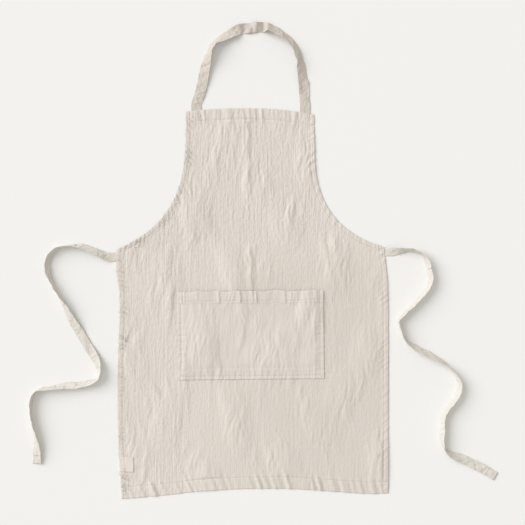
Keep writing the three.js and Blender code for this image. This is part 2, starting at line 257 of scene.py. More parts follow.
# ---- the pocket's own axes: a across from its middle, b up from its middle ----
class Pocket:
    def __init__(self):
        plan = corners("pocket_turned_edge")[:, :2]
        panel = corners("pocket_panel")[:, :2]
        left, right = plan[np.argmin(plan.sum(1))], plan[np.argmax(plan[:, 0] - plan[:, 1])]
        top = panel[np.argmin(panel[:, 0] - panel[:, 1])]
        self.width, self.height = np.linalg.norm(right - left), np.linalg.norm(top - left)
        self.across = (right - left) / self.width
        self.up = np.array([-self.across[1], self.across[0]])
        self.middle = (right + top) / 2
        seam = self.local(*corners("pocket_thread")[:, :2].T)
        self.seam_side = self.width / 2 - np.abs(seam[0]).max()
        self.seam_top = float(seam[1].max())
        hem = self.local(*corners("pocket_hem")[:, :2].T)
        self.hem = self.height / 2 - float(hem[1].min())
        self.hem_seam = float(np.mean(self.local(*corners("pocket_hem_thread")[:, :2].T)[1]))

    def local(self, x, y):
        x, y = x - self.middle[0], y - self.middle[1]
        return x * self.across[0] + y * self.across[1], x * self.up[0] + y * self.up[1]

    def world(self, a, b):
        return tuple(self.middle[k] + a * self.across[k] + b * self.up[k] for k in (0, 1))


pocket = Pocket()

# Pressed folds and pulls in the panel: x and y of both ends, height, and how wide each flank is.
waist_y = float(edges["left"][0][1])
top_y = float(edges["top"][:, 1].max())
fold_x = float(edges["top"][:, 0].mean()) - mm(4)
FOLDS = [
    (fold_x, top_y, fold_x + mm(3), top_y - mm(250), *mm(3.4, 15, 10)),
    (fold_x + mm(7), waist_y + mm(12), fold_x + mm(10), waist_y - mm(118), *mm(3.0, 13, 9)),
]
# The smaller ones, in millimetres.
for row in [
    (176, 98, 184, -200, 0.9, 5, 9),
    (208, 140, 222, -60, 0.7, 7, 11),
    (100, 300, 112, 160, 0.7, 6, 9),
    (-150, 210, -128, 60, 1.3, 22, 16),
    (-176, 40, -188, -85, 2.4, 24, 6),
    (-150, -165, -140, -300, 0.8, 6, 8),
    (-92, -172, -96, -250, 0.8, 5, 7),
    (-282, -190, -276, -330, 0.9, 6, 8),
    (-236, -330, -248, -425, 1.6, 7, 9),
    (262, 66, 266, -250, 0.8, 7, 9),
    (-262, -20, -222, -300, 0.6, 12, 14),
]:
    FOLDS.append(mm(*row))


def fold(x, y, x0, y0, x1, y1, height, rise, fall):
    start, end = np.array([x0, y0]), np.array([x1, y1])
    run = np.linalg.norm(end - start)
    along = (end - start) / run
    u = (x - start[0]) * along[0] + (y - start[1]) * along[1]
    # Folds run down the panel, so what lies on their left is on the rising side.
    t = -((x - start[0]) * along[1] - (y - start[1]) * along[0])
    t = t + mm(1.2) * waves(7, 10, mm(30, 70), mm(30, 70), x, y)
    fade = ramp((u + mm(8)) / mm(20)) * ramp((run - u) / (0.45 * run))
    return height * crease(t, rise, fall) * fade


def laid(x, y):
    """The height of the panel's upper face over the floor, and how far each place is from its edge."""
    x, y = np.asarray(x, float), np.asarray(y, float)
    sway = mm(3) * waves(1, 12, mm(60, 200), mm(60, 200), x, y)
    patches = 0.75 + 0.35 * waves(2, 12, mm(70, 200), mm(90, 260), x, y)
    # The bib and the skirt's left side are the most crushed.
    crushed = 1 + 0.35 * ramp(y / mm(300)) + 0.3 * ramp(-(x + mm(60)) / mm(160))
    patches = np.clip(patches, 0.3, None) * crushed
    cloth_waves = (
        BROAD * waves(3, 26, mm(70, 260), mm(120, 420), x, y)
        + CRUMPLE * waves(4, 60, mm(14, 46), mm(40, 220), x + sway, y) * patches
        + CRINKLE * waves(5, 130, mm(7, 14), mm(18, 110), x + sway, y) * patches
    )
    inside = np.clip(LIFT + cloth_waves, 0, None)
    for place in FOLDS:
        inside += fold(x, y, *place)
    stepped, grooves = np.zeros(x.shape), np.zeros(x.shape)
    puckers, weights = np.zeros(x.shape), np.zeros(x.shape)
    nearest = np.full(x.shape, np.inf)
    for hem in hems.values():
        step, pucker, groove, d = hem.level(x, y)
        stepped, grooves = np.maximum(stepped, step), np.maximum(grooves, groove)
        # In a corner the nearer hem's puckers win.
        weight = 1 / (d + mm(2)) ** 2
        puckers, weights = puckers + weight * pucker, weights + weight
        nearest = np.minimum(nearest, d)
    # The label is stiffer than the hem, and keeps it flat.
    from_label = np.maximum(np.abs(x - label_middle[0]), np.abs(y - label_middle[1]))
    puckers = puckers / weights * (0.1 + 0.9 * ramp((from_label - mm(18)) / mm(8)))
    # Over a hem the cloth lies on the turned layers, and waves less.
    height = inside * (1 - 0.62 * stepped) + hem_top * stepped + puckers - SEAM_GROOVE * grooves
    a, b = pocket.local(x, y)
    past = np.hypot(
        np.clip(np.abs(a) - pocket.width / 2, 0, None),
        np.clip(np.abs(b + pocket.height / 2 * 0.02) - pocket.height / 2, 0, None),
    )
    pulls = ripple(31, mm(7, 18), np.where(b < -pocket.height / 2, a, b)) * np.exp(-past / mm(16))
    height += mm(0.28) * pulls * (past > 0) * (b < pocket.height / 2)
    soft = mm(0.15)
    height = np.logaddexp(height / soft, mm(0.1) / soft) * soft
    return height + cloth, nearest


def rounded(nearest, by=EDGE_ROUND):
    """How far a folded edge curves down at these distances from it."""
    t = np.clip(1 - nearest / by, 0, 1)
    return by * 0.8 * (1 - np.sqrt(np.clip(1 - t * t, 0, 1)))


# ---- objects and meshes ----
def add_object(name, data):
    piece = bpy.data.objects.new(name, data)
    bpy.context.scene.collection.objects.link(piece)
    return piece


def add_mesh(name, vertices, faces, uv, material, slot):
    mesh = bpy.data.meshes.new(name)
    mesh.from_pydata([tuple(v) for v in vertices], [], faces)
    layer = mesh.uv_layers.new(name="cloth")
    loops = np.zeros(len(mesh.loops), np.int32)
    mesh.loops.foreach_get("vertex_index", loops)
    layer.uv.foreach_set("vector", np.asarray(uv, np.float32)[loops].ravel())
    mesh.polygons.foreach_set("use_smooth", np.ones(len(mesh.polygons), bool))
    mesh.materials.append(material)
    piece = add_object(name, mesh)
    return piece


def slab(top, bottom, uv, skip=1):
    """A closed layer between two grids of points. The lower one keeps every skip-th row and column."""
    rows, columns = top.shape[:2]
    low = bottom[::skip, ::skip]
    low_uv = uv[::skip, ::skip]
    over = np.arange(rows * columns).reshape(rows, columns)
    under = rows * columns + np.arange(low.shape[0] * low.shape[1]).reshape(low.shape[:2])

    def quads(grid, order):
        sides = [grid[:-1, :-1], grid[:-1, 1:], grid[1:, 1:], grid[1:, :-1]]
        return np.stack([sides[k].ravel() for k in order], axis=1).tolist()

    faces = quads(over, (0, 1, 2, 3)) + quads(under, (3, 2, 1, 0))
    rims = [
        (over[0], under[0], False),
        (over[:, -1], under[:, -1], False),
        (over[-1], under[-1], True),
        (over[:, 0], under[:, 0], True),
    ]
    for upper, lower, turned in rims:
        for k in range(len(lower) - 1):
            ring = upper[k * skip : (k + 1) * skip + 1].tolist()[::-1] + lower[k : k + 2].tolist()
            faces.append(ring[::-1] if turned else ring)
    vertices = np.vstack([top.reshape(-1, 3), low.reshape(-1, 3)])
    return vertices, faces, np.vstack([uv.reshape(-1, 2), low_uv.reshape(-1, 2)])


def solid(top, bottom, uv):
    """A slab whose faces are turned over if they face inwards."""
    vertices, faces, uv = slab(top, bottom, uv)
    volume = sum(
        np.dot(vertices[face[0]], np.cross(vertices[b], vertices[c]))
        for face in faces
        for b, c in zip(face[1:-1], face[2:])
    )
    return vertices, faces if volume > 0 else [face[::-1] for face in faces], uv


def grid_points(x, y, z):
    return np.stack([x, y, np.broadcast_to(z, x.shape)], axis=-1)


# ---- materials ----
# The mix node's colour sockets. It has others of the same names, for numbers and vectors.
MIX_A, MIX_B, MIX_RESULT = 6, 7, 2


class Nodes:
    """Short calls for a material's nodes."""

    def __init__(self, name):
        self.material = bpy.data.materials.new(name)
        self.material.use_nodes = True
        self.tree = self.material.node_tree
        self.shader = self.tree.nodes["Principled BSDF"]

    def add(self, kind, inputs=(), **settings):
        node = self.tree.nodes.new(kind)
        for key, value in settings.items():
            setattr(node, key, value)
        for key, value in dict(inputs).items():
            self.put(node.inputs[key], value)
        return node

    def put(self, socket, value):
        if isinstance(value, bpy.types.NodeSocket):
            self.tree.links.new(value, socket)
        else:
            socket.default_value = value

    def math(self, operation, a, b=0.0):
        return self.add("ShaderNodeMath", {0: a, 1: b}, operation=operation).outputs[0]

    def times(self, a, b):
        return self.math("MULTIPLY", a, b)

    def total(self, *values):
        total = values[0]
        for value in values[1:]:
            total = self.math("ADD", total, value)
        return total

    def between(self, value, start, end, low, high):
        """low at start and before, high at end and after, and smoothly from one to the other."""
        inputs = {0: value, 1: start, 2: end, 3: low, 4: high}
        return self.add("ShaderNodeMapRange", inputs, interpolation_type="SMOOTHSTEP").outputs[0]

    def scaled(self, place, across, along):
        """The cloth's own coordinates, in units of these many metres."""
        inputs = {0: place, 1: (1 / across, 1 / along, 1)}
        return self.add("ShaderNodeVectorMath", inputs, operation="MULTIPLY").outputs[0]

    def noise(self, place, detail=2.0, roughness=0.5):
        inputs = {"Vector": place, "Scale": 1.0, "Detail": detail, "Roughness": roughness}
        return self.add("ShaderNodeTexNoise", inputs).outputs["Fac"]

    def colour(self, shade, colour, share):
        """The base colour, from the shade at a share of 0 to the colour at 1."""
        mix = self.add("ShaderNodeMix", data_type="RGBA")
        self.put(mix.inputs["Factor"], share)
        self.put(mix.inputs[MIX_A], (*shade, 1))
        self.put(mix.inputs[MIX_B], (*colour, 1))
        self.put(self.shader.inputs["Base Color"], mix.outputs[MIX_RESULT])

    def relief(self, height, strength, distance):
        node = self.add("ShaderNodeBump", {"Height": height, "Strength": strength, "Distance": distance})
        self.put(self.shader.inputs["Normal"], node.outputs[0])


def woven(name, colour, shade, thread=mm(0.9), slub=1.0, weave=1.0, shade_falloff_and_crush=False):
    """Plain-woven cloth: crossing threads, thick places along them, and mottled tone."""
    n = Nodes(name)
    place = n.add("ShaderNodeUVMap", uv_map="cloth").outputs[0]
    wander = n.noise(n.scaled(place, mm(9), mm(14)), 1.0)
    inputs = {0: n.scaled(place, thread, thread), 1: n.times(wander, 1.6)}
    bent = n.add("ShaderNodeVectorMath", inputs, operation="ADD").outputs[0]
    split = n.add("ShaderNodeSeparateXYZ", {0: bent})

    def threads(axis):
        turns = n.times(split.outputs[axis], math.tau)
        return n.math("MULTIPLY_ADD", n.math("SINE", turns), 0.5)

    def crossings(axis):
        return n.math("SINE", n.times(split.outputs[axis], math.pi))

    def about(value, strength):
        return n.times(n.math("SUBTRACT", value, 0.5), strength)

    crossed = n.times(crossings("X"), crossings("Y"))
    weave_height = n.total(n.times(n.total(threads("X"), threads("Y")), 0.25), n.times(crossed, 0.35))
    long_slubs = n.noise(n.scaled(place, mm(1.3), mm(38)), 3.0, 0.6)
    cross_slubs = n.noise(n.scaled(place, mm(34), mm(1.5)), 3.0, 0.6)
    streaks = n.noise(n.scaled(place, mm(4.5), mm(120)), 4.0, 0.62)
    crush = n.noise(n.scaled(place, mm(5.5), mm(11)), 3.0, 0.55)
    creases = n.noise(n.scaled(place, mm(9), mm(60)), 2.0, 0.5)
    mottle = n.noise(n.scaled(place, mm(90), mm(150)), 2.0)

    tone = n.total(
        about(streaks, 0.5 * slub),
        about(long_slubs, 0.34 * slub),
        about(cross_slubs, 0.2 * slub),
        about(mottle, 0.35),
        about(weave_height, 0.12 * weave),
    )
    if shade_falloff_and_crush:
        # Painted shade: the skirt is coloured a little darker to the right, where the light falls off across
        # it.
        spot = n.add("ShaderNodeSeparateXYZ", {0: place})
        painted_falloff = n.between(spot.outputs["X"], mm(-180), mm(160), 0.0, 0.33)
        on_skirt = n.between(spot.outputs["Y"], mm(20), mm(160), 1.0, 0.0)
        tone = n.math("SUBTRACT", tone, n.times(painted_falloff, on_skirt))
    n.colour(shade, colour, n.add("ShaderNodeClamp", {0: n.total(tone, 0.5)}).outputs[0])
    # Sharp little creases run along the warp, and come and go.
    ridge = n.math("POWER", n.math("SUBTRACT", 1.0, n.math("ABSOLUTE", about(creases, 5.0))), 2.0)
    patchy = n.times(ridge, n.noise(n.scaled(place, mm(40), mm(75)), 2.0))
    height = n.total(about(crush, 1.5 * slub), n.times(patchy, 0.55 * slub), about(streaks, 1.3 * slub))
    if shade_falloff_and_crush:
        # The bib and the skirt's left side are more crushed than its middle and right.
        up = n.between(spot.outputs["Y"], mm(0), mm(200), 0.0, 0.5)
        left = n.between(spot.outputs["X"], mm(-60), mm(-200), 0.5, 0.85)
        height = n.times(height, n.total(up, left))
    height = n.total(
        height,
        n.times(weave_height, 0.10 * weave),
        about(long_slubs, 0.30 * slub),
        about(cross_slubs, 0.22 * slub),
    )
    n.relief(height, 1.0, mm(1.2))
    n.put(n.shader.inputs["Roughness"], n.total(about(long_slubs, 0.08), 0.93))
    for socket, value in (("Sheen Weight", 0.12), ("Sheen Roughness", 0.55), ("Specular IOR Level", 0.25)):
        n.shader.inputs[socket].default_value = value
    return n.material


def spun(name, colour, shade):
    """Sewing thread: two strands twisted round each other."""
    n = Nodes(name)
    place = n.add("ShaderNodeUVMap", uv_map="cloth").outputs[0]
    inputs = {"Vector": n.scaled(place, mm(1.1), mm(1.1)), "Scale": 0.35}
    twist = n.add("ShaderNodeTexWave", inputs, bands_direction="DIAGONAL").outputs["Fac"]
    fuzz = n.noise(n.scaled(place, mm(0.5), mm(0.5)), 3.0)
    n.colour(shade, colour, n.math("MULTIPLY_ADD", fuzz, 0.6))
    n.relief(twist, 0.6, mm(0.15))
    n.shader.inputs["Roughness"].default_value = 0.8
    return n.material


linen = woven("linen", (0.805, 0.757, 0.708), (0.667, 0.619, 0.573), shade_falloff_and_crush=True)
# Painted shade: the pocket is the panel's linen, coloured a little darker for the light falling off across
# the skirt's middle.
pocket_linen = woven("pocket_linen", (0.775, 0.73, 0.683), (0.648, 0.602, 0.557), slub=0.4)
# Painted light and shade: the ties and the neck strap are the same tape, but the ties are coloured lighter,
# for their faces turned to the light, and the neck strap darker, for its faces turned from it.
lit_tie_linen = woven("lit_tie_linen", (0.775, 0.748, 0.70), (0.65, 0.615, 0.565), thread=mm(0.8), slub=0.8)
shaded_neck_linen = woven("shaded_neck_linen", (0.71, 0.66, 0.61), (0.575, 0.525, 0.48), thread=mm(0.8), slub=0.9)
label_cloth = woven(
    "label_tape", (0.82, 0.76, 0.72), (0.76, 0.70, 0.655), thread=mm(0.35), slub=0.15, weave=1.2
)
# Painted shade: the sewing thread is coloured dark, to stand for the shade in the stitch holes along its
# seams.
thread = spun("sewing_thread", (0.64, 0.57, 0.50), (0.48, 0.42, 0.36))
# Painted shadow: the stitches across the tie ends are coloured darker still, for the shadow in the gap at
# the turned-up end.
end_thread = spun("tie_end_thread", (0.38, 0.33, 0.28), (0.28, 0.24, 0.20))


# ---- front panel ----
def spread(count, total, marks=(), both=True):
    """Shares from 0 to 1 in even steps, with narrow ones at the ends and round these distances from them."""
    beside_marks = [mark + side for mark in marks for side in (-mm(1.3), 0, mm(1.3))]
    fine = np.array([0, mm(0.5), mm(1.7)] + beside_marks)
    if both:
        fine = np.concatenate([fine, total - fine])
    steady = np.linspace(0, total, count + 1)
    steady = steady[np.abs(steady[:, None] - fine).min(1) > mm(0.9)]
    places = np.unique(np.round(np.concatenate([steady, fine]), 6))
    if len(places) % 2 == 0:
        # The lower faces keep every second line, so the count of steps is even.
        places = np.delete(places, len(places) // 2)
    return places / places[-1]


def panel_plan(columns, skirt_rows, bib_rows):
    """A grid of places over the whole panel that follows all of its edges."""
    wide = size_of("front_panel").x
    narrow = lengths(edges["top"])[-1]
    seams = (hems["left"].seam_depth, hems["left_armhole"].seam_depth * wide / narrow)
    u = spread(columns, wide, seams)
    low_rows = spread(skirt_rows, lengths(edges["left"])[-1], (hems["bottom"].seam_depth,), both=False)
    armhole = lengths(edges["left_armhole"])[-1]
    high_rows = 1 - spread(bib_rows, armhole, (hems["top"].seam_depth,), both=False)[::-1]
    left = np.vstack([even(edges["left"][::-1], low_rows), even(edges["left_armhole"][::-1], high_rows)[1:]])
    right = np.vstack([even(edges["right"], low_rows), even(edges["right_armhole"], high_rows)[1:]])
    bottom, top = even(edges["bottom"], u), even(edges["top"][::-1], u)
    share = lengths(left) / lengths(left)[-1]
    u, v = u[None, :, None], share[:, None, None]
    across = (1 - u) * left[:, None] + u * right[:, None]
    ends = (1 - v) * bottom[None] + v * top[None]
    flat = (1 - u) * ((1 - v) * left[0] + v * left[-1]) + u * ((1 - v) * right[0] + v * right[-1])
    plan = across + ends - flat
    return plan[..., 0], plan[..., 1]


def make_panel():
    x, y = panel_plan(columns=212, skirt_rows=194, bib_rows=112)
    height, nearest = laid(x, y)
    top = grid_points(x, y, height - rounded(nearest))
    bottom = grid_points(x, y, np.maximum(height - cloth, HUG))
    area = 0.5 * abs(
        sum(np.dot(e[:-1, 0], e[1:, 1]) - np.dot(e[1:, 0], e[:-1, 1]) for e in edges.values())
    )
    piece = add_mesh("front_panel_cloth", *slab(top, bottom, np.stack([x, y], -1), skip=2), linen, "linen")
    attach(piece, "apron")
    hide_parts("front_panel")
    return piece, area


# ---- places along the hems ----
TABS = ("neck_strap_tab_left", "neck_strap_tab_right", "tie_tab_left", "tie_tab_right")


def inward(line):
    """Unit directions to the left of a line, which is into the panel."""
    along = unit(np.gradient(line, axis=0))
    return np.stack([-along[:, 1], along[:, 0]], -1)


def runs(edge, node, depth, pitch, clear=()):
    """Even points along a hem at this depth, one list for each stretch that the CAD node covers."""
    hem = hems[edge]
    fine = even(hem.line, np.linspace(0, 1, 1500))
    plan = fine + depth * inward(fine)
    low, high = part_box(node)
    axis = 0 if edge in ("top", "bottom") else 1
    inside = (plan[:, axis] >= low[axis]) & (plan[:, axis] <= high[axis])
    for tab in clear:
        tab_low, tab_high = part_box(tab)
        gap = mm(0.8)
        beside_x = (plan[:, 0] > tab_low.x - gap) & (plan[:, 0] < tab_high.x + gap)
        beside_y = (plan[:, 1] > tab_low.y - gap) & (plan[:, 1] < tab_high.y + gap)
        inside &= ~(beside_x & beside_y)
    changes = np.flatnonzero(np.diff(np.concatenate([[0], inside.astype(int), [0]])))
    found = []
    for a, b in zip(changes[::2], changes[1::2]):
        stretch = fine[a:b]
        length = lengths(stretch)[-1] if b - a > 3 else 0
        if length > mm(8):
            count = max(2, round(length / pitch))
            found.append(points_at(stretch, np.linspace(0, length, count + 1)))
    return found


def merged(parts):
    """Several lists of vertices, faces and UV places as one."""
    vertices, faces, uv, count = [], [], [], 0
    for part_vertices, part_faces, part_uv in parts:
        vertices.append(part_vertices)
        faces += [[i + count for i in face] for face in part_faces]
        uv.append(part_uv)
        count += len(part_vertices)
    return np.vstack(vertices), faces, np.vstack(uv)


# ---- hems under the panel ----
def make_hem(edge):
    hem = hems[edge]
    depths = np.concatenate([[mm(0.4), mm(0.9)], np.linspace(mm(2), hem.depth - mm(0.6), 7), [hem.depth]])
    parts = []
    for line in runs(edge, hem.node, hem.depth / 2, mm(3.5), clear=TABS):
        plan = line[:, None] + depths[None, :, None] * inward(line)[:, None]
        x, y = plan[..., 0], plan[..., 1]
        upper = laid(x, y)[0] - cloth - HUG
        lower = mm(0.12) * (1 + ripple(hem.seed, hem.ripples, lengths(line)))[:, None] * np.ones(x.shape)
        lower = np.clip(lower, mm(0.02), None)
        if edge == "left":
            on_label = (y > label_low.y - mm(3)) & (y < label_high.y + mm(3))
            lower = np.where(on_label, LABEL_THICKNESS + 2 * HUG, lower)
        pinch = rounded(np.minimum(depths - depths[0], depths[-1] - depths)[None], mm(0.5))
        upper = np.maximum(upper - pinch, lower + mm(0.25))
        parts.append(slab(grid_points(x, y, upper), grid_points(x, y, lower), plan))
    vertices, faces, uv = merged(parts)
    piece = add_mesh(f"{hem.node}_cloth", vertices, [face[::-1] for face in faces], uv, linen, "linen")
    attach(piece, "apron")
    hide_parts(hem.node)
    return piece


# ---- pocket ----
# Folds pressed into the mouth's hem, in millimetres: place across, height, and how wide the flanks are.
PLEATS = [
    (-154, 1.7, 3.5, 2.5),
    (-147, 1.3, 3, 2.5),
    (-118, 0.7, 7, 3.5),
    (-70, 1.7, 9, 3),
    (-23, 1.8, 10, 3),
    (4, 1.2, 5, 5),
    (12, 1.9, 4, 4.5),
    (76, 1.3, 11, 3.5),
    (103, 0.8, 7, 4),
    (146, 1.1, 6, 5),
]


def pocket_height(a, b):
    """The height of the pocket's upper face at places in its own axes."""
    x, y = pocket.world(a, b)
    under = laid(x, y)[0]
    side = pocket.width / 2 - np.abs(a)
    foot, mouth = b + pocket.height / 2, pocket.height / 2 - b
    # The panel's own waves are softened by the pocket, which lies across them.
    rim = np.minimum(side, foot)
    loose = ramp((side - pocket.seam_side) / mm(26)) * ramp((foot - pocket.seam_side) / mm(30))
    height = under + cloth + HUG + mm(0.8) * (1 - ramp((rim - mm(20)) / mm(5)))
    height += mm(2.4) * loose + mm(0.8) * (1 - ramp((mouth - pocket.hem + mm(1)) / mm(5)))
    height += mm(1.2) * loose * ramp(1 - mouth / mm(60))
    slack = (
        mm(0.4) * waves(61, 24, mm(45, 140), mm(60, 200), a, b)
        + mm(0.11) * waves(62, 60, mm(11, 36), mm(30, 140), a, b)
    )
    height += slack * (0.25 + 0.75 * loose)
    in_hem = 1 - ramp((mouth - pocket.hem + mm(2)) / mm(8))
    for pleat in PLEATS:
        place, tall, rise, fall = mm(*pleat)
        height += 1.5 * tall * crease(a - place - 0.06 * mouth, rise, fall) * in_hem
    # One long pull down the middle, and the puffed margins beside the side seams.
    pull = crease(a - mm(-36) - 0.18 * (b + pocket.height / 2), mm(20), mm(9))
    height += mm(1.5) * pull * ramp((foot - mm(58)) / mm(25)) * ramp((mouth - mm(45)) / mm(45))
    height += mm(0.9) * bump((a + pocket.width / 2 - mm(14)) / mm(4.5)) * ramp(mouth / mm(30))
    height += mm(0.6) * bump((a - pocket.width / 2 + mm(22)) / mm(5)) * ramp(mouth / mm(20))
    tucks = ripple(63, mm(6, 16), np.where(side < foot, b, a)) * np.exp(-((rim - mm(8)) / mm(10)) ** 2)
    height += mm(0.3) * tucks
    seam = bump((side - pocket.seam_side) / mm(1.2)) * (foot > pocket.seam_side)
    seam = np.maximum(seam, bump((foot - pocket.seam_side) / mm(1.2)) * (side > pocket.seam_side))
    seam = np.maximum(seam, bump((b - pocket.hem_seam) / mm(1.3)) * 0.9)
    height -= mm(0.8) * seam
    return np.maximum(height, under + cloth + HUG), np.minimum(rim, mouth), under


def make_pocket():
    half_width, half_height = pocket.width / 2, pocket.height / 2
    a = pocket.width * (spread(176, pocket.width, (pocket.seam_side,)) - 0.5)
    b = pocket.height * (spread(106, pocket.height, (pocket.seam_side, half_height - pocket.hem_seam)) - 0.5)
    b, a = np.meshgrid(b, a, indexing="ij")
    height, rim, under = pocket_height(a, b)
    # The free mouth sags a little between its pleats, and the sewn edges bow with the panel.
    sway = mm(0.8) * ripple(64, mm(40, 120), a) * ramp(b / half_height)
    x, y = pocket.world(a, b + sway * (1 - ramp((np.abs(a) - half_width + mm(20)) / mm(20))))
    top = grid_points(x, y, height - rounded(rim))
    low = np.maximum(height - cloth, under + HUG)
    bottom = grid_points(x, y, np.minimum(low, top[..., 2] - mm(0.1)))
    # The pocket's weave doesn't line up with the panel's.
    uv = np.stack([a, b], -1) + mm(13, 7)
    piece = add_mesh("pocket_panel_cloth", *slab(top, bottom, uv), pocket_linen, "linen")
    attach(piece, "apron")
    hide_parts("pocket_panel")

    # What is turned under: the deep hem of the mouth, and the edge along the other three sides.
    def under_strip(a_range, b_range, count):
        b2, a2 = np.meshgrid(np.linspace(*b_range, count[1]), np.linspace(*a_range, count[0]), indexing="ij")
        height2, _, under2 = pocket_height(a2, b2)
        upper = height2 - cloth - HUG
        lower = np.maximum(upper - mm(0.7), under2 + HUG)
        upper = np.maximum(upper, lower + mm(0.1))
        x2, y2 = pocket.world(a2, b2)
        return slab(grid_points(x2, y2, upper), grid_points(x2, y2, lower), np.stack([a2, b2], -1))

    inset, strip_columns = mm(1.2), 10
    hem_edge = half_height - pocket.hem
    hem_range = (hem_edge, half_height - inset)
    hem = under_strip((-half_width + inset, half_width - inset), hem_range, (150, strip_columns))
    turn = mm(22)
    side_range = (-half_height + inset, hem_edge - mm(0.5))
    inner = half_width - turn - HUG
    strips = [
        under_strip((-half_width + inset, turn - half_width), side_range, (strip_columns, 70)),
        under_strip((half_width - turn, half_width - inset), side_range, (strip_columns, 70)),
        under_strip((-inner, inner), (-half_height + inset, turn - half_height), (120, strip_columns)),
    ]
    for node, parts in (("pocket_hem", [hem]), ("pocket_turned_edge", strips)):
        strip = add_mesh(f"{node}_cloth", *merged(parts), pocket_linen, "linen")
        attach(strip, "apron")
        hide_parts(node)
    return piece


# ---- stitches ----
STITCH, STITCH_PITCH = mm(2.5, 3.3)


def stitches(points, along, up, radius=thread_width / 2):
    """A short bent capsule on each point, with its length along the seam and its back up."""
    side = np.cross(along, up)
    shares, swell, rise = (-1, -0.6, 0.6, 1), (0.4, 1, 1, 0.4), (-0.28, 0.08, 0.08, -0.28)
    turns = np.arange(6) * math.tau / 6
    vertices, uv, count = [], [], len(points)
    for share, wide, high in zip(shares, swell, rise):
        centre = points + along * (share * STITCH / 2) + up * mm(high)
        for turn in turns:
            vertices.append(centre + radius * wide * (side * math.cos(turn) + up * math.sin(turn)))
            along_seam = np.arange(count) * STITCH_PITCH + share * STITCH / 2
            uv.append(np.stack([np.full(count, turn * radius), along_seam], -1))
    ring, rings = len(turns), len(shares)
    vertices = np.stack(vertices, 1).reshape(-1, 3)
    uv = np.stack(uv, 1).reshape(-1, 2)
    one = []
    for r in range(rings - 1):
        for k in range(ring):
            a, b = r * ring + k, r * ring + (k + 1) % ring
            one.append([a, a + ring, b + ring, b])
    one.append(list(range(ring)))
    one.append([(rings - 1) * ring + k for k in range(ring)][::-1])
    faces = [[i + n * ring * rings for i in face] for n in range(count) for face in one]
    return vertices, faces, uv


def seam_points(line):
    """Places for stitches along a line, and the line's direction at each."""
    line = np.asarray(line, float)
    length = lengths(line)[-1]
    count = max(2, round(length / STITCH_PITCH))
    at = (np.arange(count) + 0.5) * length / count
    return points_at(line, at), unit(points_at(line, at + mm(0.4)) - points_at(line, at - mm(0.4)))


def sew(node, lines, height):
    """A row of stitches along each line on a surface of this height, in place of a CAD seam."""
    parts = []
    for line in lines:
        spots, way = seam_points(line)
        reach = way * mm(1)
        z0, z1 = height(*(spots - reach).T), height(*(spots + reach).T)
        rise = (z1 - z0) / (2 * mm(1))
        along = unit(np.column_stack([way, rise]))
        up = np.tile((0.0, 0.0, 1.0), (len(spots), 1))
        up = unit(up - along * (up * along).sum(1)[:, None])
        parts.append(stitches(np.column_stack([spots, height(*spots.T)]), along, up))
    piece = add_mesh(f"{node}_stitches", *merged(parts), thread, "sewing_thread")
    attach(piece, "apron")
    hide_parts(node)
    return piece


def on_panel(x, y):
    return laid(x, y)[0]


def on_pocket(x, y):
    return pocket_height(*pocket.local(x, y))[0]


def box_line(node):
    """The rectangle down the middle of a CAD box seam."""
    low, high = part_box(node)
    half = thread_width / 2
    x0, x1, y0, y1 = low.x + half, high.x - half, low.y + half, high.y - half
    return [(x0, y0), (x1, y0), (x1, y1), (x0, y1), (x0, y0)]


def sew_panel():
    for edge, hem in hems.items():
        lines = runs(edge, hem.seam, hem.seam_depth, mm(4))
        lines = [line + hem.seam_depth * inward(line) for line in lines]
        if edge == "left":
            # The label bridges the seam's groove, and lifts the stitches that go through it.
            lift = LABEL_THICKNESS + HUG + SEAM_GROOVE

            def over_label(x, y):
                return on_panel(x, y) + lift * ((y > label_low.y) & (y < label_high.y))

            sew(hem.seam, lines, over_label)
        else:
            sew(hem.seam, lines, on_panel)
    for node in ("neck_strap_thread_left", "neck_strap_thread_right", "tie_thread_left", "tie_thread_right"):
        sew(node, [box_line(node)], on_panel)
    side, top = pocket.width / 2 - pocket.seam_side, pocket.seam_top
    foot = pocket.seam_side - pocket.height / 2
    path = [(-side, top), (-side, foot), (side, foot), (side, top)]
    sew("pocket_thread", [[pocket.world(*place) for place in path]], on_pocket)
    path = [(-side + mm(2), pocket.hem_seam), (side - mm(2), pocket.hem_seam)]
    sew("pocket_hem_thread", [[pocket.world(*place) for place in path]], on_pocket)


# ---- straps ----
# The straps' ways: x and y in millimetres, and how far the right-hand edge is rolled up in degrees.
NECK_WAY = [
    (-124.5, 431.4, 0), (-124.5, 442, 0), (-119, 460, 4), (-112, 486, 8), (-104, 526, 22), (-97, 553, 54),
    (-85, 577, 62), (-64, 591, 34), (-46, 600, 24), (-28, 609, -12), (-8, 612, 12), (14, 613, -24),
    (34, 613, 34), (52, 606, 40), (68, 595, 48), (86, 580, 50), (98, 563, 50), (105, 541, 46),
    (110, 511, 24), (113.5, 486, 10), (116, 456, 2), (117, 440, 0), (117, 431.4, 0),
]
LEFT_WAY = [
    (-303.35, 103.5, 0), (-312, 103.5, -3), (-324, 105, -18), (-342, 114, -45), (-374, 125.5, -52),
    (-405, 129, -82), (-427, 125, -95), (-445, 110, -125), (-453, 90, -132), (-452, 68, -120),
    (-443, 46, -106), (-433, 23, -90), (-420, 0, -62), (-404, -30, -36), (-387, -58, -14),
    (-369, -89, -5), (-352, -116, -16), (-341, -139, -52), (-338, -157, -80), (-348, -170, -74),
    (-375, -178, -52), (-410, -182.5, -48), (-445, -186, -68), (-474, -191, -85), (-487, -206, -102),
    (-491, -233, -96), (-488, -266, -82), (-481, -302, -56), (-477.5, -332, -28), (-478.5, -355.5, -10),
]
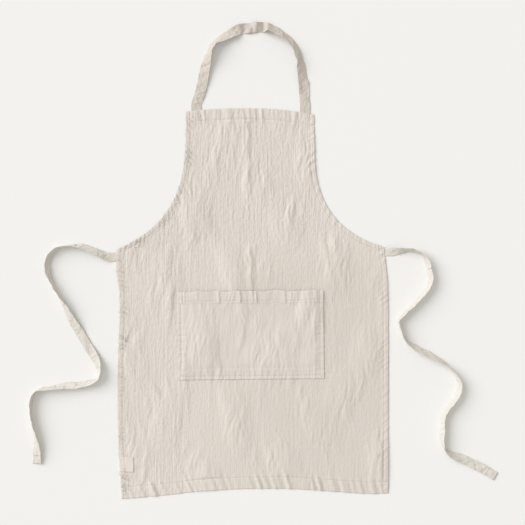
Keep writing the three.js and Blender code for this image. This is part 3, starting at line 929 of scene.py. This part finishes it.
RIGHT_WAY = [
    (295.75, 115.5, 0), (305, 115.5, -12), (318, 116, -34), (334, 117.5, -55), (358, 117.5, -72),
    (379, 107, -74), (389, 88, -66), (394.5, 62, -62), (392, 42, -68), (377, 19, -70), (355, -4, -74),
    (333, -25, -80), (324.5, -39, -86), (330, -62, -94), (342, -84, -106), (364, -99, -128),
    (394, -114.5, -130), (422, -130, -112), (444, -149, -88), (458, -173, -73), (458, -194, -70),
    (446, -217, -73), (429, -238, -75), (422, -259, -72), (421, -285, -68), (420, -306, -74),
    (426, -323, -98), (441, -334.5, -130), (467, -345, -166), (496, -359, -174), (519, -371, -177),
    (540, -384, -178),
]


class Strap:
    """A flat tape along its way, which lies on the floor on its lowest edge."""

    def __init__(self, way, width, seed, buckles=()):
        self.way = np.array(way, float) * (mm(1), mm(1), math.pi / 180)
        self.width, self.seed, self.buckles = width, seed, buckles
        shares = np.linspace(0, 1, 2000)
        self.shares, self.along = shares, lengths(cubic(self.way, shares)[:, :2])
        self.length = self.along[-1]

    def frame(self, s):
        """Middle, direction across, direction out of the face, at distances along the way."""
        before, after = np.minimum(s, 0), np.maximum(s - self.length, 0)
        share = np.interp(s, self.along, self.shares)
        step = 1e-4
        way = unit(cubic(self.way, share + step)[:, :2] - cubic(self.way, share - step)[:, :2])
        middle = cubic(self.way, share)
        roll = middle[:, 2]
        flat = np.column_stack([way[:, 1], -way[:, 0], np.zeros(len(s))])
        sine, cosine, up = np.sin(roll)[:, None], np.cos(roll)[:, None], np.array([[0, 0, 1.0]])
        across, face = cosine * flat + sine * up, cosine * up - sine * flat
        z = self.width / 2 * np.abs(sine[:, 0]) + strap_thickness / 2 * np.abs(cosine[:, 0])
        at_top = middle[:, 1] > self.way[:, 1].max() - mm(16)
        for place, tall, rise, fall in self.buckles:
            z = z + tall * ramp(crease(middle[:, 0] - place, rise, fall)) * at_top
        middle = np.column_stack([middle[:, :2] + way * (before + after)[:, None], z])
        return middle, across, face

    def shift(self, s, u):
        """How far the cloth is crinkled out of its face. u goes from -1 to 1 across it."""
        out = mm(0.45) * waves(self.seed, 16, (1.5, 4), mm(18, 60), u, s)
        out = out + mm(0.22) * waves(self.seed + 1, 24, (0.7, 2), mm(7, 20), u, s)
        cup = mm(0.9) * ripple(self.seed + 2, mm(50, 120), s, 12) * (u * u - 0.4)
        random = np.random.default_rng(self.seed + 3)
        for _ in range(int(self.length / mm(27))):
            # A sharp crease slantwise over the tape, that fades towards one edge.
            place = random.uniform(0, self.length)
            slant, side = random.uniform(-0.7, 0.7), random.uniform(-1, 1)
            t = s - place - slant * u * self.width / 2
            tall = random.choice((-1, 1)) * mm(random.uniform(0.8, 2.0))
            out = out + tall * crease(t, mm(6), mm(3)) * bump((u - side) / 0.9)
        return (out + cup) * ramp(s / mm(22)) * ramp((self.length - s) / mm(30))

    def grid(self, s, columns, low, high, inset=0.0):
        """Points on the tape's two faces, from low to high out of its middle, and their UV places."""
        half = self.width / 2 - inset
        away = np.concatenate([[0, mm(0.3), mm(0.8)], np.linspace(mm(1.8), half, columns // 2)])
        u = np.concatenate([-(half - away), (half - away)[:-1][::-1]]) / (self.width / 2)
        s, u = np.meshgrid(s, u, indexing="ij")
        middle, across, face = self.frame(s[:, 0])
        edge = half - np.abs(u) * self.width / 2
        thin = rounded(edge, mm(0.55))
        groove = mm(0.16) * bump((edge - mm(2.2)) / mm(0.8))
        bent = self.shift(s, u)[..., None] * face[:, None]
        base = middle[:, None] + across[:, None] * (u * self.width / 2)[..., None] + bent
        centre = (low + high) / 2
        top = base + face[:, None] * np.maximum(high - thin - groove, centre + mm(0.06))[..., None]
        bottom = base + face[:, None] * np.minimum(low + thin + groove, centre - mm(0.06))[..., None]
        # Where a crinkle would reach into the floor, the tape is pressed flat on it.
        face_up = top[..., 2] >= bottom[..., 2]
        lower = np.maximum(np.minimum(top[..., 2], bottom[..., 2]), mm(0.03))
        pressed = lower + mm(0.4) * np.abs(face[:, 2])[:, None]
        upper = np.maximum(np.maximum(top[..., 2], bottom[..., 2]), pressed)
        top[..., 2], bottom[..., 2] = np.where(face_up, upper, lower), np.where(face_up, lower, upper)
        return top, bottom, np.stack([u * self.width / 2, s], -1)


# Where the neck strap's top stands up in buckles: x, height, and how wide each flank is.
BUCKLES = [mm(-38, 3.5, 20, 22), mm(7, 4, 18, 11), mm(33, 6.5, 11, 16)]
neck = Strap(NECK_WAY, neck_width, 70, BUCKLES)
left_tie, right_tie = Strap(LEFT_WAY, tie_width, 80), Strap(RIGHT_WAY, tie_width, 90)


def make_strap(name, strap, material, tabs):
    """One tape with its sewn tabs."""
    first = tab_length(tabs[0])
    last = tab_length(tabs[1]) if len(tabs) > 1 else 0
    s = np.linspace(-first, strap.length + last, round((strap.length + first + last) / mm(1.6)))
    top, bottom, uv = strap.grid(s, 12, -strap_thickness / 2, strap_thickness / 2)
    piece = add_mesh(f"{name}_tape", *solid(top, bottom, uv), material, "strap_tape")
    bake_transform(piece)
    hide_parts(name, *tabs)
    path = strap.frame(s)[0]
    strap.frame(np.array([0.0]))[0][0]
    return piece


def tab_length(tab):
    size = size_of(tab)
    return size.y if tab.startswith("neck") else size.x


def make_tie_end(name, strap):
    """The turned-up end of a tie and the stitches across it."""
    end = strap.frame(np.array([strap.length]))[0][0]
    places = corners(f"{name}_end_hem")
    reach = np.linalg.norm(places - end, axis=1).max()
    deep = math.sqrt(reach**2 - (strap.width / 2) ** 2)
    up = math.copysign(1, math.cos(strap.way[-1, 2]))
    near, far = strap_thickness / 2 + HUG, strap_thickness / 2 + HUG + mm(0.75)
    s = np.linspace(strap.length - deep, strap.length - mm(0.4), 14)
    top, bottom, uv = strap.grid(s, 12, min(up * near, up * far), max(up * near, up * far), inset=mm(0.3))
    hem = add_mesh(f"{name}_end_hem_cloth", *solid(top, bottom, uv), lit_tie_linen, "strap_tape")
    across = np.arange(-strap.width / 2 + mm(2.4), strap.width / 2 - mm(1.5), STITCH_PITCH)
    at = np.full(len(across), strap.length - deep + mm(2.5))
    middle, wide, face = strap.frame(at)
    lift = up * far + strap.shift(at, across * 2 / strap.width)
    points = middle + wide * across[:, None] + face * lift[:, None]
    made = stitches(points, wide, up * face, radius=mm(0.6))
    seam = add_mesh(f"{name}_end_stitches", *made, end_thread, "sewing_thread")
    for piece, node in ((hem, f"{name}_end_hem"), (seam, f"{name}_end_thread")):
        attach(piece, name)
        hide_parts(node)
    return [hem.name, seam.name]


def make_straps():
    make_strap(
        "neck_strap", neck, shaded_neck_linen, ("neck_strap_tab_left", "neck_strap_tab_right"),
    )
    for name, strap, out in (("tie_left", left_tie, -1), ("tie_right", right_tie, 1)):
        ends = make_tie_end(name, strap)
        make_strap(
            name, strap, lit_tie_linen, (f"tie_tab_{name[4:]}",),
        )


# ---- label ----
def make_label():
    """One piece of tape folded round the side hem, with a free flap beyond the seam."""
    low, high = label_low, label_high
    flap_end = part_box("label_flap")[1].x
    fold_x = hinges["label_flap_fold"][0]
    half, bend = LABEL_THICKNESS / 2, mm(0.7)
    rows = []
    for y in np.linspace(low.y, high.y, 16):
        wall = np.interp(-y, -edges["left"][:, 1], edges["left"][:, 0]) - half - mm(0.15)
        over_hem = np.linspace(wall + bend, fold_x, 12)
        x_top = np.concatenate([over_hem, np.linspace(fold_x, flap_end, 16)[1:]])
        z_top = laid(x_top, np.full(len(x_top), y))[0]
        # It is stiffer than the cloth under it, and bridges the seam's groove and the hem's step.
        rest = np.maximum.accumulate(z_top[::-1])[::-1]
        z_top = np.minimum(rest, np.maximum.accumulate(z_top))
        # Its free edge lifts.
        past = np.clip((x_top - fold_x) / (flap_end - fold_x), 0, 1)
        hold = z_top[len(over_hem) - 1]
        curl = mm(1.4) * past**2 * (0.6 + 0.4 * math.cos((y - low.y) * math.pi / (high.y - low.y)))
        z_top = np.where(past > 0, np.maximum(rest, hold - mm(0.2) * past), z_top) + half + HUG + curl
        turn = np.linspace(-math.pi / 2, math.pi / 2, 7)
        mid = (z_top[0] + half + HUG) / 2
        round_x = wall + bend - bend * np.cos(turn)
        round_z = mid + (z_top[0] - mid) * np.sin(turn)
        x_low = np.linspace(fold_x - mm(1.5), wall + mm(0.9), 8)
        x = np.concatenate([x_low, round_x, x_top[1:]])
        z = np.concatenate([np.full(len(x_low), half + HUG), round_z, z_top[1:]])
        rows.append(np.column_stack([x, np.full(len(x), y), z]))
    line = np.array(rows)
    way = unit(np.gradient(line[..., [0, 2]], axis=1))
    out = np.stack([-way[..., 1], np.zeros(way.shape[:2]), way[..., 0]], -1)
    run = np.stack([lengths(row) for row in rows])
    uv = np.stack([run, line[..., 1]], -1)
    made = solid(line + out * half * 0.95, line - out * half * 0.95, uv)
    piece = add_mesh("side_label", *made, label_cloth, "label")
    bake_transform(piece)
    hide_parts("label_fold", "label_flap")
    return piece, (float(run[0, -1]), high.y - low.y)


# ---- floor, light and camera ----
def make_stage():
    floor = bpy.data.meshes.new("floor")
    reach = 6
    square = [(-reach, -reach, 0), (reach, -reach, 0), (reach, reach, 0), (-reach, reach, 0)]
    floor.from_pydata(square, [], [(0, 1, 2, 3)])
    n = Nodes("pale_board")
    n.shader.inputs["Base Color"].default_value = (0.872, 0.879, 0.877, 1)
    n.shader.inputs["Roughness"].default_value = 0.7
    floor.materials.append(n.material)
    piece = add_object("floor", floor)
    piece.location.z = -mm(0.3)

    world = bpy.data.worlds.new("studio")
    world.use_nodes = True
    background = world.node_tree.nodes["Background"].inputs
    background["Color"].default_value = (1.0, 0.96, 0.90, 1)
    background["Strength"].default_value = 0.63
    bpy.context.scene.world = world
    bpy.context.scene.view_settings.view_transform = "Standard"

    # The light comes in low from the upper left, from a window wide enough to soften its shadows.
    lamp = bpy.data.lights.new("window", "SUN")
    lamp.energy, lamp.angle, lamp.color = 2.2, math.radians(44), (0.985, 0.99, 1.0)
    window = add_object("window", lamp)
    window.rotation_euler = (0, math.radians(-55), math.radians(-26))


def make_camera():
    """Straight down, with a view 1.17 m wide, a little right of and above the panel's middle."""
    height, view_width = 2.6, mm(1166.6)
    camera = bpy.data.cameras.new("camera")
    camera.sensor_width = 36
    camera.lens = camera.sensor_width * height / view_width
    piece = add_object("camera", camera)
    piece.location = (mm(22.1), mm(91.3), height)
    bpy.context.scene.camera = piece


make_stage()
make_camera()
panel, panel_area = make_panel()
hem_pieces = [make_hem(edge) for edge in EDGES]
patch = make_pocket()
sew_panel()
make_straps()
label, label_size = make_label()
